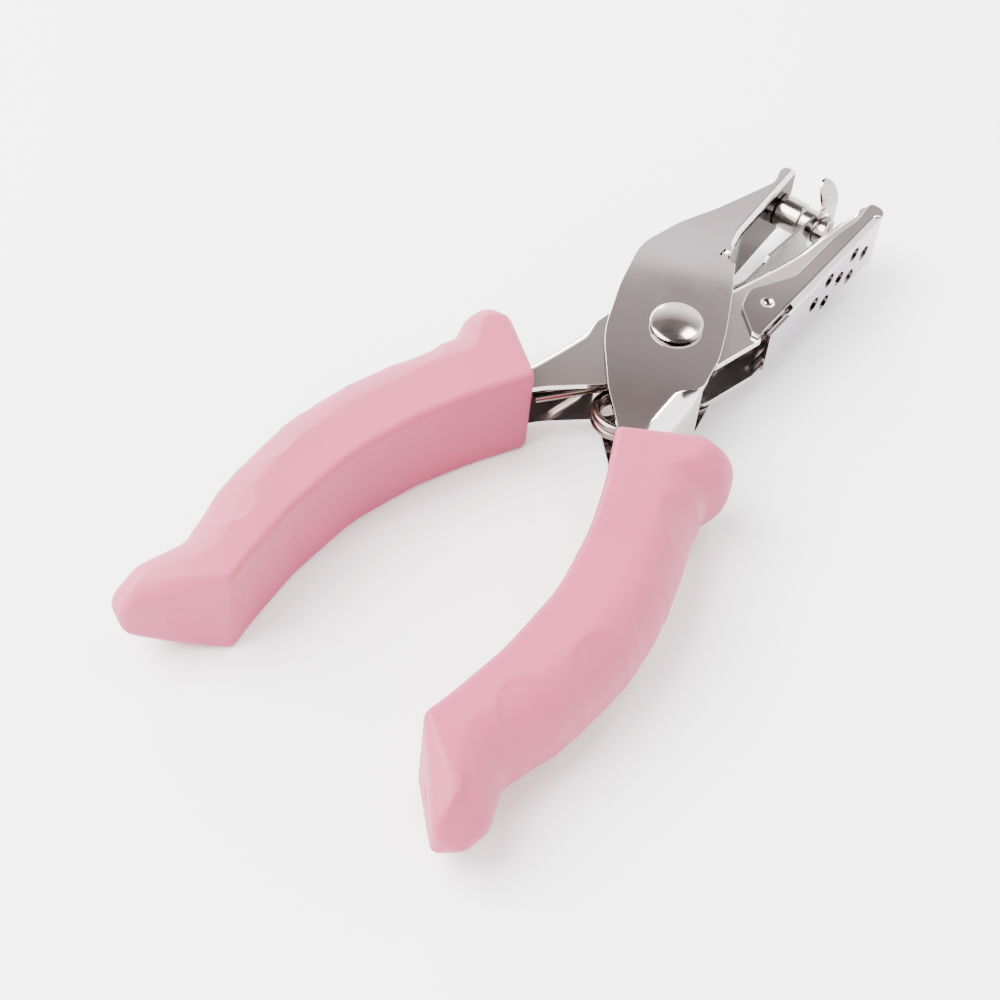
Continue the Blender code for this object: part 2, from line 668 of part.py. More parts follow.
def main():
    clear_scene()
    nickel = (0.66, 0.63, 0.61)
    punch_steel = material("punch_lever_nickel", nickel, 1.0, 0.2)
    die_steel = material("die_lever_nickel", nickel, 1.0, 0.18)
    punch_points = make_punch_lever(punch_steel)
    die_points = make_die_lever(die_steel)
    make_pivot_rivet(material("rivet_nickel", (0.70, 0.67, 0.65), 1.0, 0.15))
    make_punch_pin(material("pin_steel", (0.56, 0.54, 0.52), 1.0, 0.25))
    make_stripper(material("stripper_spring_steel", (0.60, 0.58, 0.57), 1.0, 0.22))
    make_stripper_rivet(material("stripper_rivet_steel", (0.60, 0.58, 0.56), 1.0, 0.25))
    make_chip_cover(material("cover_nickel", (0.72, 0.69, 0.70), 1.0, 0.22))
    make_torsion_spring(material("spring_wire", (0.55, 0.50, 0.46), 1.0, 0.2))
    pink = (0.80, 0.45, 0.53)
    make_grip("die_grip", 1, die_points, DIE_HALF, material("die_grip_vinyl", pink, 0.0, 0.5))
    make_grip("punch_grip", -1, punch_points, PUNCH_HALF, material("punch_grip_vinyl", pink, 0.0, 0.5))


main()
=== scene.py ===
"""Looks of the plier punch: plated sheet metal, turned pieces, sprung wire and soft vinyl grips.

Plan lengths are in millimetres from the pivot axis: +X towards the jaws, +Y towards the punch
jaw's side, +Z along the pivot.
"""
import json
import math

import bmesh
import bpy
import numpy as np
from mathutils import Matrix, Vector


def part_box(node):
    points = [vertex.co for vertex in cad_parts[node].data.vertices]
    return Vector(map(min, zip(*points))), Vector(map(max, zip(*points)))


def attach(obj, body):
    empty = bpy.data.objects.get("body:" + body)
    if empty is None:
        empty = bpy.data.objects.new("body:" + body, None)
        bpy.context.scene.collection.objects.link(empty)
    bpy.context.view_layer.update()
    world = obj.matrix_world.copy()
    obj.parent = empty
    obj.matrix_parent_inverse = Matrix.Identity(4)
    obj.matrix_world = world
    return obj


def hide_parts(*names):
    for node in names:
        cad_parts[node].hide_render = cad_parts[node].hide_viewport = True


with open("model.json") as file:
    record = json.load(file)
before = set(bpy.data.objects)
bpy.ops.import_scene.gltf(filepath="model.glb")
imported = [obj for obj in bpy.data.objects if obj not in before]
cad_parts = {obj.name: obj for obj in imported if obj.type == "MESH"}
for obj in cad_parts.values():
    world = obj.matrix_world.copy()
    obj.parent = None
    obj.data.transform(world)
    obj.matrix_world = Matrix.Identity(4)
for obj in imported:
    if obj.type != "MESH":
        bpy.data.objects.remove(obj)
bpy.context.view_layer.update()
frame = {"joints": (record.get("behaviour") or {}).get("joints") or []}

MM = 0.001
JOINTS = {joint["name"]: joint for joint in frame["joints"]}
PIVOT = Vector(JOINTS["main_pivot"]["pos_m"])
GRIP_LOW, GRIP_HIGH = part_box("die_grip")
MIRROR_Y = -PIVOT.y / MM         # the grips mirror each other about this line
GAP = 0.3
OPEN_CUT = 0.25                  # how far a hollow runs past an open edge
THROUGH = 2.0                    # how far a cutter runs past the faces it opens
EDGE_ROUND = 0.12                # rounding of a sheet's outer edges
BEND_SPACING = 0.9               # longest edge along a bend

PUNCH_HALF = 7.0
PUNCH_SHEET = 1.1
DIE_HALF = 5.5
DIE_SHEET = 1.1
GRIP_HALF = (GRIP_HIGH.z - GRIP_LOW.z) / MM / 2
GRIP_END_X = -88.0

RIVET_HEAD_R = 5.0
RIVET_SHANK_R = 2.6
RIVET_TAIL_R = 4.0
RIVET_DOME_R = 19.0              # curvature of the rivet's shallow head
RIVET_RIM = 0.75                 # height of the head's rim
RIVET_PEENED = 1.4               # height of the peened tail

PIN_X = 45.4
PIN_FACE_Y = 5.05
PIN_TILT = math.radians(3.0)
PIN_R = 3.0
PIN_COLLAR_R = 3.4
PIN_COLLAR_LENGTH = 5.0
PIN_LENGTH = 10.7
PIN_TENON_R = 2.0
DIE_BITE = math.radians(6.0)     # lever's turn when the pin is halfway through the die
DIE_CLEARANCE = 0.45

# Notch that frees the punch jaw's web from its flanges: a round bottom and a slot above it
RELIEF_CENTRE = (21.5, 1.2)
RELIEF_R = 1.1
RELIEF_SIDES = (20.6, 22.6)
RELIEF_TOP = 4.2

STRIP_SHEET = 0.5
STRIP_LOW = 4.2                  # half height of the strip's foot
STRIP_HIGH = 5.4                 # half height of its blade
STRIP_EAR = 10.2                 # half height over the two ears
STRIP_WAIST = 0.9                # how far the blade narrows before the ears
STRIP_PIN_CLEARANCE = 0.9        # side clearance of the pin's hole in the strip
STRIP_RIVET_R = 1.0
EAR_HALF = 2.5                   # half width of an ear
EAR_LEAN = 3.0                   # how far an ear flares towards the punch jaw
EAR_OVERLAP = 1.6                # how far an ear's root runs into the blade

COVER_HALF = 6.6
COVER_SHEET = 0.8
COVER_WEB_Y = -14.0
COVER_HINGE = (16.5, -9.6)
COVER_REAR_X = 11.5
COVER_SLOT_X = 19.3
COVER_LIP = 1.5                  # width of the flange's edge beside the cut-back web
COVER_FRONT_X = 52.6
COVER_NOSE_R = 4.5               # rounded lower front corner of the cover's web
VENT_R = 1.6
VENT_PITCH = 9.1
VENT_ROWS = ((0.0, 28.0, 3), (3.0, 32.6, 2), (-3.0, 32.6, 2))    # height, first x, count

WIRE_R = 0.9
COIL_R = 5.0
COIL_CENTRE = (-18.7, -2.0)
COIL_START = math.radians(53.0)
COIL_WHOLE_TURNS = 2
COIL_PITCH = 2.0
COIL_STEPS = 150
FIRST_LEG = (15.5, 10.0, 5.0, 1.5)    # points along the leg towards the die lever, far end first
LAST_LEG = (1.5, 4.0, 7.0)            # points along the leg towards the punch lever

# Sheet outlines: x, y, fillet radius. Walls are spans of corners whose edges carry the
# channel's web, with the bend's radius and the length over which it grows from a wall's end.
PUNCH_OUTLINE = [
    (22.6, 2.7, 0.5), (28.5, 4.2, 8), (39.4, 4.8, 20), (50.8, 5.4, 1.7), (50.4, 8.4, 1.6),
    (47.4, 8.0, 2.0), (44.4, 7.0, 5), (38.0, 9.1, 12), (31.0, 11.4, 14), (22.5, 15.0, 14),
    (13.0, 17.3, 12), (2.0, 14.2, 20), (-10.0, 9.4, 24), (-20.5, 0.8, 24), (-27.1, -6.2, 20),
    (-40.0, -14.2, 24), (-50.0, -18.1, 40), (-64.0, -21.7, 40), (-80.0, -22.1, 40),
    (GRIP_END_X, -21.6, 2), (GRIP_END_X, -29.9, 2), (-70.0, -31.4, 40), (-55.0, -28.9, 30),
    (-40.0, -21.9, 40), (-30.0, -15.4, 14), (-22.0, -12.9, 20), (-8.5, -12.3, 5),
    (-1.5, -10.8, 12), (5.4, -7.8, 20), (14.6, -3.0, 20), (21.4, 1.0, 0.5),
]
PUNCH_WALLS = [(0, 5, 1.3, 2.8), (20, 26, 3.8, 5.0)]

DIE_OUTLINE = [
    (12.5, -0.7, 0.5), (11.0, 4.0, 3), (6.0, 10.6, 8), (-5.6, 12.1, 20), (-17.8, 14.7, 40),
    (-24.0, 16.2, 12), (-30.0, 19.1, 20), (-40.0, 26.1, 40), (-55.0, 33.1, 30),
    (-70.0, 35.6, 40), (GRIP_END_X, 34.1, 2), (GRIP_END_X, 25.8, 2), (-80.0, 26.3, 40),
    (-64.0, 25.9, 40), (-50.0, 22.3, 40), (-40.0, 18.4, 24), (-27.6, 11.2, 20),
    (-18.5, 1.6, 12), (-11.0, -6.5, 10), (-2.5, -10.7, 8), (9.0, -13.5, 0.6),
    (10.0, -11.5, 0.6), (18.6, -11.5, 0.6), (20.0, -12.9, 0.6), (50.6, -12.9, 2.2),
    (53.0, -10.2, 1.2), (51.0, -9.2, 3), (46.0, -7.9, 10), (39.4, -7.0, 10), (33.2, -6.4, 20),
    (27.3, -5.0, 20), (15.4, -1.4, 12),
]
DIE_WALLS = [(3, 10, 2.2, 6.0), (26, 32, 1.5, 2.0)]

COVER_OUTLINE = [
    (20.8, -7.0, 6), (25.8, -9.7, 4), (31.0, -9.8, 20), (39.5, -9.8, 20), (46.5, -10.8, 6),
    (COVER_FRONT_X, -10.2, 1.2), (COVER_FRONT_X, COVER_WEB_Y, 2.6), (8.6, COVER_WEB_Y, 0.5),
    (8.4, -11.6, 0.8), (12.8, -6.3, 2.4), (17.2, -5.0, 3.0),
]
COVER_WALLS = [(6, 7, 1.5, 1.0)]

STRIP_LINE = [(12.9, 0.0), (20.6, -2.4), (28.0, -2.45), (50.9, -4.0)]

# Grip outline in its own half plane: x, distance from the mirror line, fillet radius, softness
GRIP_OUTLINE = [
    (-29.2, 8.9, 1.0, 1.2), (-19.2, 21.6, 9.0, 4.5), (-17.0, 28.0, 6.0, 9.5),
    (-22.5, 30.1, 4.0, 10.0), (-28.0, 28.6, 3.0, 10.0), (-38.0, 32.2, 12.0, 9.5),
    (-55.0, 37.8, 30.0, 9.5), (-70.0, 39.2, 40.0, 9.5), (-84.0, 37.6, 20.0, 9.5),
    (-95.0, 34.8, 6.0, 10.0), (-103.5, 38.6, 5.0, 11.0), (-110.0, 37.8, 3.5, 12.0),
    (-111.8, 33.0, 2.0, 7.0), (-98.3, 20.2, 1.2, 1.3), (-92.0, 21.2, 20.0, 1.3),
    (-80.0, 22.4, 30.0, 1.3), (-64.0, 22.0, 40.0, 1.3), (-50.0, 18.4, 40.0, 1.3),
    (-40.0, 14.4, 40.0, 1.3),
]
BUTT_CORNER = (-98.3, 20.2)      # inner corner of a grip's slanted butt face
BUTT_ALONG = (-0.726, 0.688)     # direction of that face, towards the outer side
BUTT_REACH = 22.0                # length over which a grip's height rounds off to its tip
GRIP_REACH = 1.4                 # how far along the outline soft edges average, per softness
GRIP_TOP = 0.985                 # share of an edge's rounding used up at the flat side
GRIP_SPACING = 1.5               # longest edge of a grip's outline
GRIP_STEPS = 14                  # layers from mid thickness to a grip's flat side
GRIP_VOXEL = 0.42
GRIP_RELAX = 9                   # rounds of smoothing after the remesh
GRIP_FIT = 0.1                   # clearance round the lever
# Finger scoops along a grip's outer edge: centre x, distance from the mirror line, two radii, depth
SCOOPS = [
    (-86.5, 32.6, 5.2, 5.4, 0.75), (-71.3, 36.9, 5.8, 5.4, 0.60), (-55.8, 38.2, 6.0, 5.2, 0.35),
    (-37.0, 30.4, 5.0, 5.4, 0.60),
]
SCOOP_RIM = 0.10                 # how far a scoop's rim stands up, as a share of its depth
PARTING_RISE = 0.09              # height of the mould's parting line on the inner side
PARTING_HALF = 0.22
PARTING_END = -96.0
GATE_MARK = (-105.0, 27.0)       # middle of the butt face
GATE_REACH = 4.0

# Where the camera stands
CAMERA_AZIMUTH = math.radians(-58.21)
CAMERA_ELEVATION = math.radians(51.51)
CAMERA_ROLL = math.radians(7.0)
CAMERA_AIM = Vector((-0.01987, 0.00075, 0.0105))
CAMERA_DISTANCE = 0.42417
CAMERA_LENS = 86.4               # mm on a 36 mm sensor

# Light: watts, and the room's colours by height (0 at the horizon, 1 overhead)
KEY = 40.0
SIDE = 3.0
BACK = 16.0
SKY_STRENGTH = 3.0
SKY_LOW = (1.60, 1.58, 1.58)
SKY_STOPS = [
    (0.48, (1.60, 1.57, 1.58)), (0.64, (0.66, 0.61, 0.64)), (0.688, (0.42, 0.375, 0.39)),
    (0.709, (0.62, 0.56, 0.58)), (0.7122, (0.60, 0.54, 0.56)), (0.7140, (0.21, 0.176, 0.182)),
    (0.735, (0.195, 0.165, 0.170)), (0.750, (0.120, 0.098, 0.095)), (0.768, (0.16, 0.135, 0.13)),
    (0.82, (0.15, 0.13, 0.125)), (0.90, (0.05, 0.042, 0.038)),
]


# ---------------------------------------------------------------- outlines

def fillet(corners, walls=(), step=6.0):
    """Round the corners. Returns the points and, per point, its next edge's (bend, run-in) or None."""
    count = len(corners)
    walled = [None] * count
    for first, last, bend, run_in in walls:
        for i in range(first, last):
            walled[i] = (bend, run_in)
    points = []
    flags = []
    for i, corner in enumerate(corners):
        here = Vector(corner[:2])
        back = Vector(corners[i - 1][:2]) - here
        ahead = Vector(corners[(i + 1) % count][:2]) - here
        reach = min(back.length, ahead.length) * 0.48
        back.normalize()
        ahead.normalize()
        half = math.acos(max(-1.0, min(1.0, back.dot(ahead)))) / 2
        turn = math.pi - 2 * half
        tangent = min(corner[2] / math.tan(half), reach)
        radius = tangent * math.tan(half)
        centre = here + (back + ahead).normalized() * (radius / math.sin(half))
        arm = here + back * tangent - centre
        sweep = turn if back.cross(ahead) < 0 else -turn
        steps = max(1, math.ceil(turn / math.radians(step)))
        for k in range(steps + 1):
            points.append(centre + Matrix.Rotation(sweep * k / steps, 2) @ arm)
            inside = walled[i] if walled[i - 1] else None
            flags.append(walled[i] if k == steps else inside)
    return points, flags


def split_walls(points, flags):
    """Add points along walled edges, so that a bend can grow smoothly."""
    split_points = []
    split_flags = []
    for i, point in enumerate(points):
        ahead = points[(i + 1) % len(points)]
        steps = max(1, math.ceil((ahead - point).length / BEND_SPACING)) if flags[i] else 1
        for k in range(steps):
            split_points.append(point.lerp(ahead, k / steps))
            split_flags.append(flags[i])
    return split_points, split_flags


def turning_side(points):
    """+1 for an outline that runs anticlockwise, -1 for the other way."""
    return 1.0 if sum(points[i - 1].cross(points[i]) for i in range(len(points))) > 0 else -1.0


def offset(points, distances):
    """Move each edge along its outward normal by its distance."""
    count = len(points)
    side = turning_side(points)
    normals = []
    for i in range(count):
        edge = (points[(i + 1) % count] - points[i]).normalized()
        normals.append(Vector((edge.y, -edge.x)) * side)
    moved = []
    for i, point in enumerate(points):
        before = normals[i - 1]
        after = normals[i]
        if abs(distances[i - 1] - distances[i]) > 1e-6:
            moved.append((point + before * distances[i - 1], i))
            moved.append((point + after * distances[i], i))
            continue
        middle = (before + after).normalized()
        moved.append((point + middle * (distances[i] / max(0.3, middle.dot(before))), i))
    return moved


def inset(points, insets):
    """Move each point inwards, square to its neighbours' line."""
    count = len(points)
    side = turning_side(points)
    moved = []
    for i, point in enumerate(points):
        edge = (points[(i + 1) % count] - points[i - 1]).normalized()
        moved.append(point + Vector((-edge.y, edge.x)) * (side * insets[i]))
    return moved


def bend_radii(points, flags):
    """Bend radius at each point: it grows from nothing at a wall's ends over its run-in."""
    count = len(points)
    lengths = [(points[(i + 1) % count] - points[i]).length for i in range(count)]
    reach = [0.0] * count
    for direction in (1, -1):
        travelled = 0.0
        for step in range(2 * count):
            i = step * direction % count
            edge = i - 1 if direction > 0 else i
            travelled = travelled + lengths[edge] if flags[edge] else 0.0
            if step >= count:
                reach[i] = min(reach[i], travelled) if direction < 0 else travelled
    radii = []
    for i in range(count):
        wall = flags[i] if flags[i] and flags[i - 1] else None
        if not wall:
            radii.append(EDGE_ROUND)
            continue
        t = min(1.0, reach[i] / wall[1])
        radii.append(max(EDGE_ROUND, wall[0] * t * t * (3 - 2 * t)))
    return radii


# ---------------------------------------------------------------- meshes

def loft_mesh(rings):
    """A closed solid through rings of equally many (x, y, z) points, capped at both ends."""
    bm = bmesh.new()
    loops = [[bm.verts.new((x * MM, y * MM, z * MM)) for x, y, z in ring] for ring in rings]
    count = len(loops[0])
    for a, b in zip(loops, loops[1:]):
        for i in range(count):
            j = (i + 1) % count
            bm.faces.new((a[i], a[j], b[j], b[i]))
    bm.faces.new(loops[0])
    bm.faces.new(loops[-1])
    bmesh.ops.recalc_face_normals(bm, faces=bm.faces)
    return bm


def rounded_loft(points, radii, half, depths=None, steps=7):
    """A prism over an outline whose upper and lower edges are rounded by each point's radius.

    Each point's rounding reaches down by its depth, which is its radius unless given.
    """
    upper = []
    for k in range(steps + 1):
        angle = math.pi / 2 * k / steps
        ring = inset(points, [radius * (1 - math.cos(angle)) for radius in radii])
        heights = [half - depth * (1 - math.sin(angle)) for depth in depths or radii]
        upper.append([(p.x, p.y, z) for p, z in zip(ring, heights)])
    lower = [[(x, y, -z) for x, y, z in ring] for ring in reversed(upper)]
    return loft_mesh(lower + upper)


def prism_mesh(points, low, high):
    """A straight solid over an outline, between two heights."""
    return loft_mesh([[(p.x, p.y, z) for p in points] for z in (low, high)])


def box_mesh(low, high):
    """A box between two corners."""
    bm = bmesh.new()
    bmesh.ops.create_cube(bm, size=1.0)
    for vert in bm.verts:
        for axis in range(3):
            value = high[axis] if vert.co[axis] > 0 else low[axis]
            vert.co[axis] = value * MM
    return bm


def bar_mesh(start, end, radius, sides=64):
    """A closed round bar between two points."""
    a = Vector(start) * MM
    b = Vector(end) * MM
    bm = bmesh.new()
    bmesh.ops.create_cone(bm, cap_ends=True, segments=sides, radius1=radius * MM,
                          radius2=radius * MM, depth=(b - a).length)
    turn = (b - a).to_track_quat('Z', 'Y').to_matrix().to_4x4()
    bmesh.ops.transform(bm, matrix=Matrix.Translation((a + b) / 2) @ turn, verts=bm.verts)
    return bm


def turned_mesh(profile, sides=96):
    """A closed turned piece about Z from (radius, height) pairs, both ends on the axis."""
    bm = bmesh.new()
    rings = []
    for radius, height in profile:
        if radius == 0:
            rings.append([bm.verts.new((0, 0, height * MM))])
            continue
        ring = []
        for k in range(sides):
            angle = 2 * math.pi * k / sides
            x = radius * math.cos(angle)
            y = radius * math.sin(angle)
            ring.append(bm.verts.new((x * MM, y * MM, height * MM)))
        rings.append(ring)
    for low, high in zip(rings, rings[1:]):
        for k in range(sides):
            j = (k + 1) % sides
            face = [low[k % len(low)], low[j % len(low)], high[j % len(high)], high[k % len(high)]]
            bm.faces.new(list(dict.fromkeys(face)))
    bmesh.ops.recalc_face_normals(bm, faces=bm.faces)
    return bm


def softened(profile, radius):
    """The same turned profile with its inner corners rounded."""
    result = [profile[0]]
    for before, here, after in zip(profile, profile[1:], profile[2:]):
        a = Vector(before) - Vector(here)
        b = Vector(after) - Vector(here)
        reach = min(radius, a.length * 0.45, b.length * 0.45)
        start = Vector(here) + a.normalized() * reach
        end = Vector(here) + b.normalized() * reach
        for k in range(5):
            t = k / 4
            point = start * (1 - t) ** 2 + Vector(here) * (2 * t * (1 - t)) + end * t ** 2
            result.append((max(point.x, 0.001), point.y))
    result.append(profile[-1])
    return result


# ---------------------------------------------------------------- objects

def new_object(name, bm):
    """Turn a mesh into an object that stands on the pivot."""
    mesh = bpy.data.meshes.new(name)
    bmesh.ops.recalc_face_normals(bm, faces=bm.faces)
    bm.to_mesh(mesh)
    bm.free()
    obj = bpy.data.objects.new(name, mesh)
    bpy.context.scene.collection.objects.link(obj)
    obj.location = PIVOT
    return obj


def apply_modifiers(obj):
    """Keep what the modifiers make as the object's plain mesh."""
    graph = bpy.context.evaluated_depsgraph_get()
    mesh = bpy.data.meshes.new_from_object(obj.evaluated_get(graph))
    obj.modifiers.clear()
    obj.data = mesh


def boolean(obj, bm, operation='DIFFERENCE'):
    """Cut a mesh out of an object, or join it on, and keep the result as plain mesh."""
    tool = new_object("tool", bm)
    mod = obj.modifiers.new("tool", 'BOOLEAN')
    mod.operation = operation
    mod.solver = 'EXACT'
    mod.object = tool
    apply_modifiers(obj)
    bpy.data.objects.remove(tool)


def shade(obj, angle=30.0):
    """Smooth over bends and round faces, with flat faces kept flat."""
    obj.data.shade_smooth()
    obj.data.set_sharp_from_angle(angle=math.radians(angle))
    mod = obj.modifiers.new("even_normals", 'WEIGHTED_NORMAL')
    mod.keep_sharp = True
    mod.weight = 100


def finish_piece(obj, mat, body, *nodes):
    """Give a piece its material, let it ride on its body and stand for its CAD node."""
    obj.data.materials.clear()
    obj.data.materials.append(mat)
    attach(obj, body)
    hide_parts(*nodes)
    return obj


def channel(name, corners, walls, half, sheet):
    """A folded channel: two flanges of the outline, joined by the web along its walled edges."""
    points, flags = split_walls(*fillet(corners, walls))
    radii = bend_radii(points, flags)
    body = new_object(name, rounded_loft(points, radii, half))
    moved = offset(points, [-sheet if flag else OPEN_CUT for flag in flags])
    inner_points = [point for point, _ in moved]
    inner_radii = [max(0.0, radii[i] - sheet) for _, i in moved]
    depths = [max(0.05, *inner_radii)] * len(moved)
    boolean(body, rounded_loft(inner_points, inner_radii, half - sheet, depths))
    return body


# ---------------------------------------------------------------- metal pieces

def pin_axis():
    """Where the pin leaves the jaw's web, and the direction it points in."""
    base = Vector((PIN_X, PIN_FACE_Y, 0.0))
    direction = Vector((math.sin(PIN_TILT), -math.cos(PIN_TILT), 0.0))
    return base, direction


def make_punch_lever(mat):
    body = channel("punch_lever_plated", PUNCH_OUTLINE, PUNCH_WALLS, PUNCH_HALF, PUNCH_SHEET)
    reach = PUNCH_HALF + THROUGH
    boolean(body, bar_mesh((0, 0, -reach), (0, 0, reach), RIVET_SHANK_R + GAP))
    base, direction = pin_axis()
    boolean(body, bar_mesh(base - direction * 2.2, base + direction, PIN_TENON_R + GAP / 2))
    boolean(body, bar_mesh((*RELIEF_CENTRE, -reach), (*RELIEF_CENTRE, reach), RELIEF_R))
    boolean(body, box_mesh((RELIEF_SIDES[0], RELIEF_CENTRE[1], -reach),
                           (RELIEF_SIDES[1], RELIEF_TOP, reach)))
    shade(body)
    return finish_piece(body, mat, "punch", "punch_lever")


def make_die_lever(mat):
    body = channel("die_lever_plated", DIE_OUTLINE, DIE_WALLS, DIE_HALF, DIE_SHEET)
    reach = DIE_HALF + THROUGH
    boolean(body, bar_mesh((0, 0, -reach), (0, 0, reach), RIVET_SHANK_R + GAP))
    base, direction = pin_axis()
    turn = Matrix.Rotation(-DIE_BITE, 3, 'Z')
    top = turn @ (base + direction * PIN_COLLAR_LENGTH)
    bottom = turn @ (base + direction * PIN_LENGTH)
    boolean(body, bar_mesh(top, bottom, PIN_R + DIE_CLEARANCE))
    boolean(body, strip_rivet_hole_mesh())
    shade(body)
    return finish_piece(body, mat, "die", "die_lever")


def make_punch_pin(mat):
    base, direction = pin_axis()
    back = -PUNCH_SHEET - GAP
    profile = [(0, back - 1.0), (1.6, back - 1.0), (2.6, back - 0.5), (2.6, back),
               (PIN_TENON_R, back), (PIN_TENON_R, 0.02), (PIN_COLLAR_R, 0.02),
               (PIN_COLLAR_R, PIN_COLLAR_LENGTH), (PIN_R, PIN_COLLAR_LENGTH + 0.15),
               (PIN_R, PIN_LENGTH), (PIN_R - 0.35, PIN_LENGTH - 0.02),
               (PIN_R * 0.55, PIN_LENGTH - 0.7), (0, PIN_LENGTH - 0.95)]
    bm = turned_mesh(softened(profile, 0.22))
    turn = direction.to_track_quat('Z', 'Y').to_matrix().to_4x4()
    bmesh.ops.transform(bm, matrix=Matrix.Translation(base * MM) @ turn, verts=bm.verts)
    body = new_object("punch_pin_turned", bm)
    shade(body, 40)
    return finish_piece(body, mat, "punch", "punch_pin")


def make_pivot_rivet(mat):
    top = PUNCH_HALF + GAP
    rim = top + RIVET_RIM
    fall = RIVET_DOME_R - math.sqrt(RIVET_DOME_R ** 2 - RIVET_HEAD_R ** 2)
    dome = []
    for k in range(1, 16):
        radius = RIVET_HEAD_R * (1 - k / 16)
        drop = RIVET_DOME_R - math.sqrt(RIVET_DOME_R ** 2 - radius ** 2)
        dome.append((radius, rim + fall - drop))
    profile = [(0, -top - RIVET_PEENED), (2.6, -top - RIVET_PEENED), (RIVET_TAIL_R - 0.2, -top - 0.9),
               (RIVET_TAIL_R, -top), (RIVET_SHANK_R, -top), (RIVET_SHANK_R, top),
               (RIVET_HEAD_R - 0.5, top), (RIVET_HEAD_R - 0.15, top + 0.15),
               (RIVET_HEAD_R - 0.02, top + 0.45), (RIVET_HEAD_R - 0.02, rim - 0.08),
               (RIVET_HEAD_R - 0.12, rim), *dome, (0, rim + fall)]
    body = new_object("pivot_rivet_domed", turned_mesh(profile, 128))
    shade(body, 40)
    return finish_piece(body, mat, "die", "pivot_rivet")


def strip_rivet_axis():
    """The middle of the strip's rivet, and the direction its head points in."""
    start = Vector((*STRIP_LINE[0], 0.0))
    end = Vector((*STRIP_LINE[1], 0.0))
    along = (end - start).normalized()
    return start.lerp(end, 0.45), Vector((-along.y, along.x, 0.0))


def strip_rivet_hole_mesh():
    """What the strip's rivet needs open through the strip and the die lever's web."""
    middle, normal = strip_rivet_axis()
    return bar_mesh(middle - normal * 3, middle + normal * 3, STRIP_RIVET_R + GAP / 2)


def strip_half_height(x):
    """Half height of the strip by place: low foot, blade, necked before the ears."""
    rise = min(1.0, max(0.0, (x - 27.0) / 1.0))
    waist = math.sin(math.pi * min(1.0, max(0.0, (x - 46.6) / 4.3)))
    return STRIP_LOW + (STRIP_HIGH - STRIP_LOW) * rise - STRIP_WAIST * waist


def ear_mesh(side):
    """One leaf-shaped ear, flared towards +Y as it rises from the strip's edge."""
    tip = Vector(STRIP_LINE[3])
    along = (tip - Vector(STRIP_LINE[2])).normalized()
    centre = tip - along * 2.6
    rings = []
    levels = 28
    for k in range(levels + 1):
        t = k / levels
        root = STRIP_HIGH - EAR_OVERLAP
        height = side * (root + (STRIP_EAR - STRIP_HIGH + EAR_OVERLAP) * t)
        tip_round = math.sqrt(max(0.004, 1 - (max(0.0, t - 0.35) / 0.66) ** 2))
        width = EAR_HALF * tip_round * (1 - 0.12 * math.exp(-((t - 0.18) / 0.12) ** 2))
        lean = EAR_LEAN * max(0.0, t - 0.15) ** 1.3
        ring = []
        for across, face in ((-1, -1), (1, -1), (1, 1), (-1, 1)):
            spot = centre + along * (across * width)
            ring.append((spot.x, spot.y + lean + face * STRIP_SHEET / 2, height))
        rings.append(ring)
    return loft_mesh(rings)


def make_stripper(mat):
    line = [Vector(p) for p in STRIP_LINE]
    stations = [line[0], line[0].lerp(line[1], 0.5), line[1].lerp(line[0], 0.06)]
    stations += [line[1].lerp(line[2], 0.06)]
    stations += [line[1].lerp(line[2], k / 24) for k in range(12, 24)]
    stations += [line[2].lerp(line[3], k / 48) for k in range(0, 49)]
    rings = []
    for i, point in enumerate(stations):
        before = stations[max(0, i - 1)]
        after = stations[min(len(stations) - 1, i + 1)]
        along = (after - before).normalized()
        normal = Vector((-along.y, along.x)) * (STRIP_SHEET / 2)
        half = strip_half_height(point.x)
        front = point + normal
        back = point - normal
        rings.append([(front.x, front.y, half), (front.x, front.y, -half),
                      (back.x, back.y, -half), (back.x, back.y, half)])
    body = new_object("stripper_plate_sprung", loft_mesh(rings))
    for side in (1, -1):
        boolean(body, ear_mesh(side), 'UNION')
    base, direction = pin_axis()
    centre = base + direction * 9.0
    centre.x -= 0.25
    boolean(body, bar_mesh(centre - Vector((0, 3, 0)), centre + Vector((0, 3, 0)),
                           PIN_R + STRIP_PIN_CLEARANCE))
    boolean(body, strip_rivet_hole_mesh())
    shade(body)
    return finish_piece(body, mat, "die", "stripper_plate")


def make_stripper_rivet(mat):
    middle, normal = strip_rivet_axis()
    head = STRIP_SHEET / 2 + 0.02
    tail = -(STRIP_SHEET / 2 + GAP + DIE_SHEET + GAP)
    profile = [(0, tail - 0.7), (1.4, tail - 0.6), (1.7, tail), (STRIP_RIVET_R, tail),
               (STRIP_RIVET_R, head), (1.9, head), (1.7, head + 0.5), (1.0, head + 0.8),
               (0, head + 0.9)]
    bm = turned_mesh(softened(profile, 0.2), 48)
    turn = normal.to_track_quat('Z', 'Y').to_matrix().to_4x4()
    bmesh.ops.transform(bm, matrix=Matrix.Translation(middle * MM) @ turn, verts=bm.verts)
    body = new_object("stripper_rivet_turned", bm)
    shade(body, 40)
    return finish_piece(body, mat, "die", "stripper_rivet")


def vent_holes():
    """Centres of the seven vents on the cover's outer web: x and height, three staggered rows."""
    for height, first, count in VENT_ROWS:
        for k in range(count):
            yield first + VENT_PITCH * k, height


